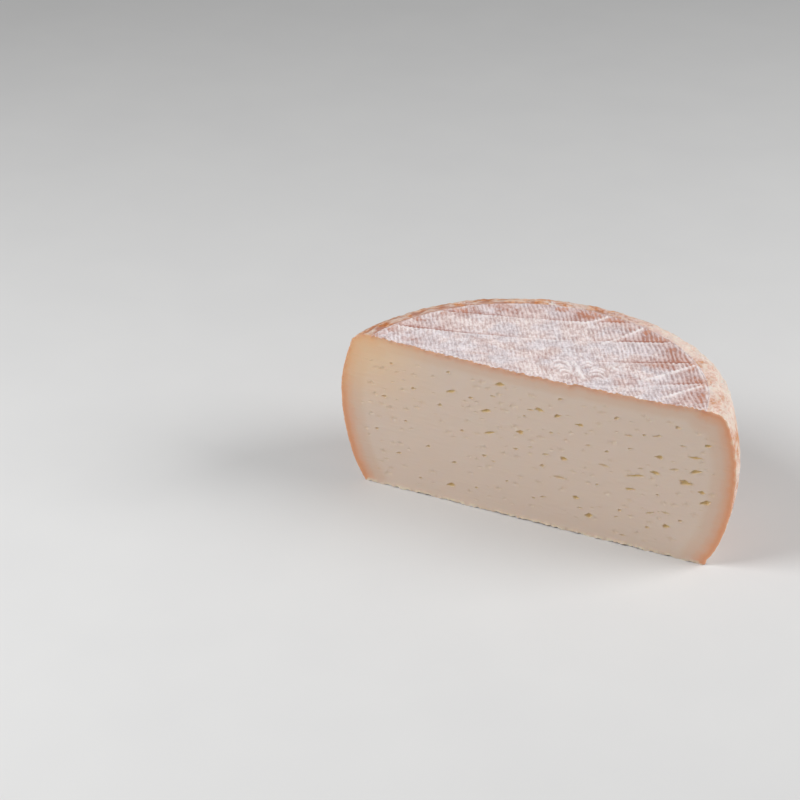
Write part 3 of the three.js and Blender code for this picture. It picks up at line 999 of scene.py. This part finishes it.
def new_material(name):
    """An empty material with a plain shader, and the place on the piece as a vector."""
    material = bpy.data.materials.new(name)
    material.use_nodes = True
    tree = material.node_tree
    shader = next(node for node in tree.nodes if node.type == "BSDF_PRINCIPLED")
    return material, tree, shader, add_node(tree, "TexCoord", {}).outputs["Object"]


# The sheen of the cheese, and how deep light sinks into it in metres.
SHEEN = 0.35
GLOW_DEPTH = 2.0 * MM


def finish_surface(tree, shader, base, height, relief, roughness, glow):
    """Colour, relief by strength and depth, roughness, and the share and reach of light that sinks in."""
    bump = add_node(tree, "Bump", {"Height": height, "Strength": relief[0], "Distance": relief[1] * MM})
    feed(tree, shader, {
        "Base Color": base, "Normal": bump.outputs["Normal"], "Roughness": roughness,
        "Specular IOR Level": SHEEN, "Subsurface Weight": glow[0], "Subsurface Radius": glow[1],
        "Subsurface Scale": GLOW_DEPTH})


# The cheese's finishes

def thread_level(tree, place, rind):
    """How high a spot of the cloth's print lies: threads, fibres along them, grain and worn patches."""
    rib, weft = (math_node(tree, "COSINE", times(tree, mark(tree, name), 2.0 * math.pi))
                 for name in ("rib_turns", "weft_turns"))
    both = times(tree, math_node(tree, "ADD", rib, weft), 0.5)
    woven = add_node(tree, "Mix", {0: mark(tree, "ribbed"), 2: both, 3: rib}).outputs[0]
    thread = weigh(tree, (times(tree, woven, mark(tree, "pressed")), 0.5), (1.0, 0.5))
    thread = math_node(tree, "POWER", thread, 1.3)
    along_ribs = drawn_along(tree, place, (1.0, 4.0, 1.0), THREAD_TURN)
    fibres = stretch(tree, speckle(tree, along_ribs, 0.6, 2.0), 0.3, 0.7)
    worn = stretch(tree, speckle(tree, place, 6.0, 3.0, 0.6), 0.35, 0.65)
    return weigh(tree, (thread, 0.32), (fibres, 0.22), (rind["Tint"], 0.26), (worn, 0.2))


def cloth_marked_top(grain):
    """White bloom and painted highlight on the raised threads and ridges, red-brown rind between them, rind
    and painted shade in the folds.
    """
    material, tree, shader, place = new_material("cloth_marked_top")
    level = thread_level(tree, place, use_group(tree, grain, {"Vector": place}))
    tone = stretch(tree, speckle(tree, place, 15.0), 0.4, 0.6)
    dull = mix(tree, tone, colour(181, 147, 141), colour(177, 159, 160))
    # The pale on the raised threads is partly bloom and partly painted highlight.
    pale = mix(tree, tone, colour(251, 240, 238), colour(246, 238, 241))
    cloth = mix(tree, stretch(tree, level, 0.08, 0.82), dull, pale)
    # Bare rind, with painted shade behind the pleats' grooves.
    wash = mark(tree, "wash")
    rosy = mix(tree, stretch(tree, level, 0.2, 0.7), colour(168, 122, 111), colour(216, 189, 184))
    faded = mix(tree, stretch(tree, wash, 0.05, 0.6), cloth, rosy)
    blotches = speckle(tree, place, 8.0)
    russet = mix(tree, blotches, colour(168, 106, 84), colour(190, 136, 114))
    orange = mix(tree, blotches, colour(192, 124, 94), colour(204, 152, 128))
    under = mix(tree, mark(tree, "near_rim"), russet, orange)
    bare = weigh(tree, (wash, 1.0), (level, -1.1))
    stained = mix(tree, stretch(tree, bare, -0.1, 0.55), faded, under)
    # Dark line, partly bare rind and partly painted shade in the grooves and under the arches.
    lined = mix(tree, mark(tree, "line"), stained, colour(142, 78, 60))
    # White, partly bloom and crumbs and partly painted highlight on the ridges of pleats and arches.
    ridged = times(tree, mark(tree, "white"), stretch(tree, level, 0.1, 0.6, 0.4, 1.0))
    finished = mix(tree, ridged, lined, colour(252, 244, 243))
    finish_surface(tree, shader, finished, level, (1.0, 0.3), 0.8, (0.1, (1.0, 0.6, 0.45)))
    return material


def washed_rind(grain, bloom):
    """Orange washed rind under dusty bloom, with fuzzy patches of white mould and brown flecks."""
    material, tree, shader, place = new_material("washed_rind")
    rind = use_group(tree, grain, {"Vector": place})
    mask = use_group(tree, bloom, {"Vector": place, "Cover": mark(tree, "bloom")})["Mask"]
    tone = weigh(tree, (mask, 0.8), (rind["Tint"], 0.34), (1.0, -0.07))
    covered = ramp(tree, tone, (
        (0.05, (172, 100, 58)), (0.25, (208, 136, 80)), (0.4, (218, 154, 106)),
        (0.51, (216, 165, 138)), (0.68, (224, 184, 167)), (0.95, (242, 223, 210))))
    dusk = mix(tree, stretch(tree, tone, 0.2, 0.8), colour(180, 128, 108), colour(222, 193, 184))
    bare = stretch(tree, speckle(tree, place, 7.0, 4.0, 0.6), 0.38, 0.53)
    dusky = mix(tree, times(tree, mark(tree, "rosy"), bare), covered, dusk)
    tufts = stretch(tree, speckle(tree, place, 3.4, 3.0, 0.6), 0.5, 0.6)
    clusters = stretch(tree, speckle(tree, place, 22.0), 0.57, 0.66)
    mould = times(tree, tufts, clusters)
    spotted = mix(tree, times(tree, mould, 0.85), dusky, colour(236, 229, 222))
    flecks = stretch(tree, speckle(tree, place, 1.5, 2.0), 0.64, 0.74)
    flecked = mix(tree, times(tree, flecks, 0.55), spotted, colour(142, 82, 54))
    lined = mix(tree, mark(tree, "line"), flecked, colour(140, 84, 56))
    # White on the gathers' crests and on the right end, where it is partly painted light from the rim lamp.
    finished = mix(tree, mark(tree, "white"), lined, colour(238, 225, 211))
    height = weigh(tree, (rind["Height"], 1.0), (mask, 0.25), (mould, 0.5))
    roughness = stretch(tree, mask, 0.0, 1.0, 0.5, 0.8)
    finish_surface(tree, shader, finished, height, (1.0, 0.5), roughness, (0.1, (1.2, 0.5, 0.3)))
    return material


def ivory_paste(grain):
    """Ivory paste that turns orange towards the rind, with olive eyes and smears that the knife left."""
    material, tree, shader, place = new_material("ivory_paste")
    gap = mark(tree, "rind_gap")
    wobble = weigh(tree, (speckle(tree, place, 3.0), 1.0), (1.0, -0.5))
    within = times(tree, gap, math_node(tree, "SUBTRACT", 1.0, gap))
    depth = math_node(tree, "ADD", gap, times(tree, wobble, within))
    paste = ramp(tree, depth, (
        (0.0, (240, 210, 188)), (0.04, (226, 162, 124)), (0.1, (221, 152, 110)),
        (0.2, (222, 164, 128)), (0.27, (221, 171, 142)), (0.385, (219, 178, 151)),
        (0.54, (217, 187, 167)), (0.77, (217, 191, 171)), (1.0, (220, 200, 184))))
    mottled = mix(tree, times(tree, speckle(tree, place, 14.0), 0.2), paste, colour(214, 192, 174))
    mellow = mix(tree, times(tree, mark(tree, "cream"), 0.6), mottled, colour(240, 200, 152))
    holes = mix(tree, mark(tree, "eye"), mellow, colour(206, 174, 120))
    crumbs = mix(tree, mark(tree, "white"), holes, colour(238, 224, 198))
    rind = use_group(tree, grain, {"Vector": place})
    smear = speckle(tree, drawn_along(tree, place, (9.0, 1.0, 1.0)), 1.6)
    height = weigh(tree, (rind["Height"], 0.3), (smear, 1.0))
    finish_surface(tree, shader, crumbs, height, (0.5, 0.3), 0.5, (0.35, (1.0, 0.65, 0.4)))
    return material


def underside_rind(grain, bloom):
    """Bloomy rind, a little duller than the flank's."""
    material, tree, shader, place = new_material("underside_rind")
    rind = use_group(tree, grain, {"Vector": place})
    mask = use_group(tree, bloom, {"Vector": place, "Cover": 0.58})["Mask"]
    base = mix(tree, rind["Tint"], colour(186, 122, 80), colour(206, 146, 104))
    pale = mix(tree, rind["Tint"], colour(206, 182, 172), colour(228, 212, 206))
    bloomed = mix(tree, mask, base, pale)
    finish_surface(tree, shader, bloomed, rind["Height"], (0.6, 0.3), 0.85, (0.12, (1.0, 0.5, 0.35)))
    return material


# The scene

def place_object(name, data):
    made = bpy.data.objects.new(name, data)
    bpy.context.scene.collection.objects.link(made)
    return made


def make_cheese():
    mesh = make_mesh()
    bloom, grain = bloom_group(), grain_group()
    # In the order of FLANK, TOP, CUT and UNDERSIDE.
    for finish in (washed_rind(grain, bloom), cloth_marked_top(grain), ivory_paste(grain),
                   underside_rind(grain, bloom)):
        mesh.materials.append(finish)
    cheese = place_object("goat_cheese_half", mesh)
    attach(cheese, "root")
    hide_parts("cheese_half")


# The stage, in metres and degrees. A view is azimuth, elevation and distance. A softbox has a view, a width
# and a power.
FLOOR_SIZE = 6.0
FLOOR_TINTS = ((0.7, 0.7, 0.7, 1.0), (0.74, 0.74, 0.735, 1.0))
CAMERA_AIM = Vector((-0.108, 0.0373, 0.0))
CAMERA_VIEW = (26.42, 28.40, 1.1547)
CAMERA_LENS = 99.79
CAMERA_SENSOR = 36.0
CAMERA_CLIP = (0.05, 20.0)
LIGHT_AIM = Vector((0.0, 0.0, 0.04))
SOFTBOXES = (
    ("key", (-46.0, 43.0, 1.1), 0.65, 7.6),
    ("rim", (110.0, 36.0, 1.2), 0.7, 9.5),
)
SKY_STRENGTH = 0.22


def stand_at(thing, aim, azimuth, elevation, distance):
    """Put a light or camera in a direction and at a distance from what it looks at."""
    azimuth, elevation = math.radians(azimuth), math.radians(elevation)
    back = Vector((math.sin(azimuth) * math.cos(elevation), -math.cos(azimuth) * math.cos(elevation),
                   math.sin(elevation)))
    thing.location = aim + back * distance
    thing.rotation_euler = (-back).to_track_quat("-Z", "Y").to_euler()


def make_floor():
    mesh = bpy.data.meshes.new("floor")
    half = FLOOR_SIZE / 2.0
    corners = [(-half, -half, 0), (half, -half, 0), (half, half, 0), (-half, half, 0)]
    mesh.from_pydata(corners, [], [(0, 1, 2, 3)])
    material, tree, shader, place = new_material("pale_floor")
    tint = mix(tree, speckle(tree, place, 60.0, 2.0), *FLOOR_TINTS)
    feed(tree, shader, {"Base Color": tint, "Roughness": 0.8})
    mesh.materials.append(material)
    floor = place_object("floor", mesh)


def make_lights():
    for name, view, width, power in SOFTBOXES:
        data = bpy.data.lights.new(name, "AREA")
        data.shape = "DISK"
        data.size = width
        data.energy = power
        stand_at(place_object(name, data), LIGHT_AIM, *view)
    world = bpy.data.worlds.new("studio")
    world.use_nodes = True
    tree = world.node_tree
    feed(tree, tree.nodes["Background"], {"Color": (1.0, 1.0, 1.0, 1.0), "Strength": SKY_STRENGTH})
    bpy.context.scene.world = world


def make_camera():
    data = bpy.data.cameras.new("photo_view")
    data.sensor_width = CAMERA_SENSOR
    data.lens = CAMERA_LENS
    data.clip_start, data.clip_end = CAMERA_CLIP
    camera = place_object("photo_view", data)
    stand_at(camera, CAMERA_AIM, *CAMERA_VIEW)
    bpy.context.scene.camera = camera


make_camera()
make_cheese()
make_floor()
make_lights()
bpy.context.scene.view_settings.view_transform = "Standard"
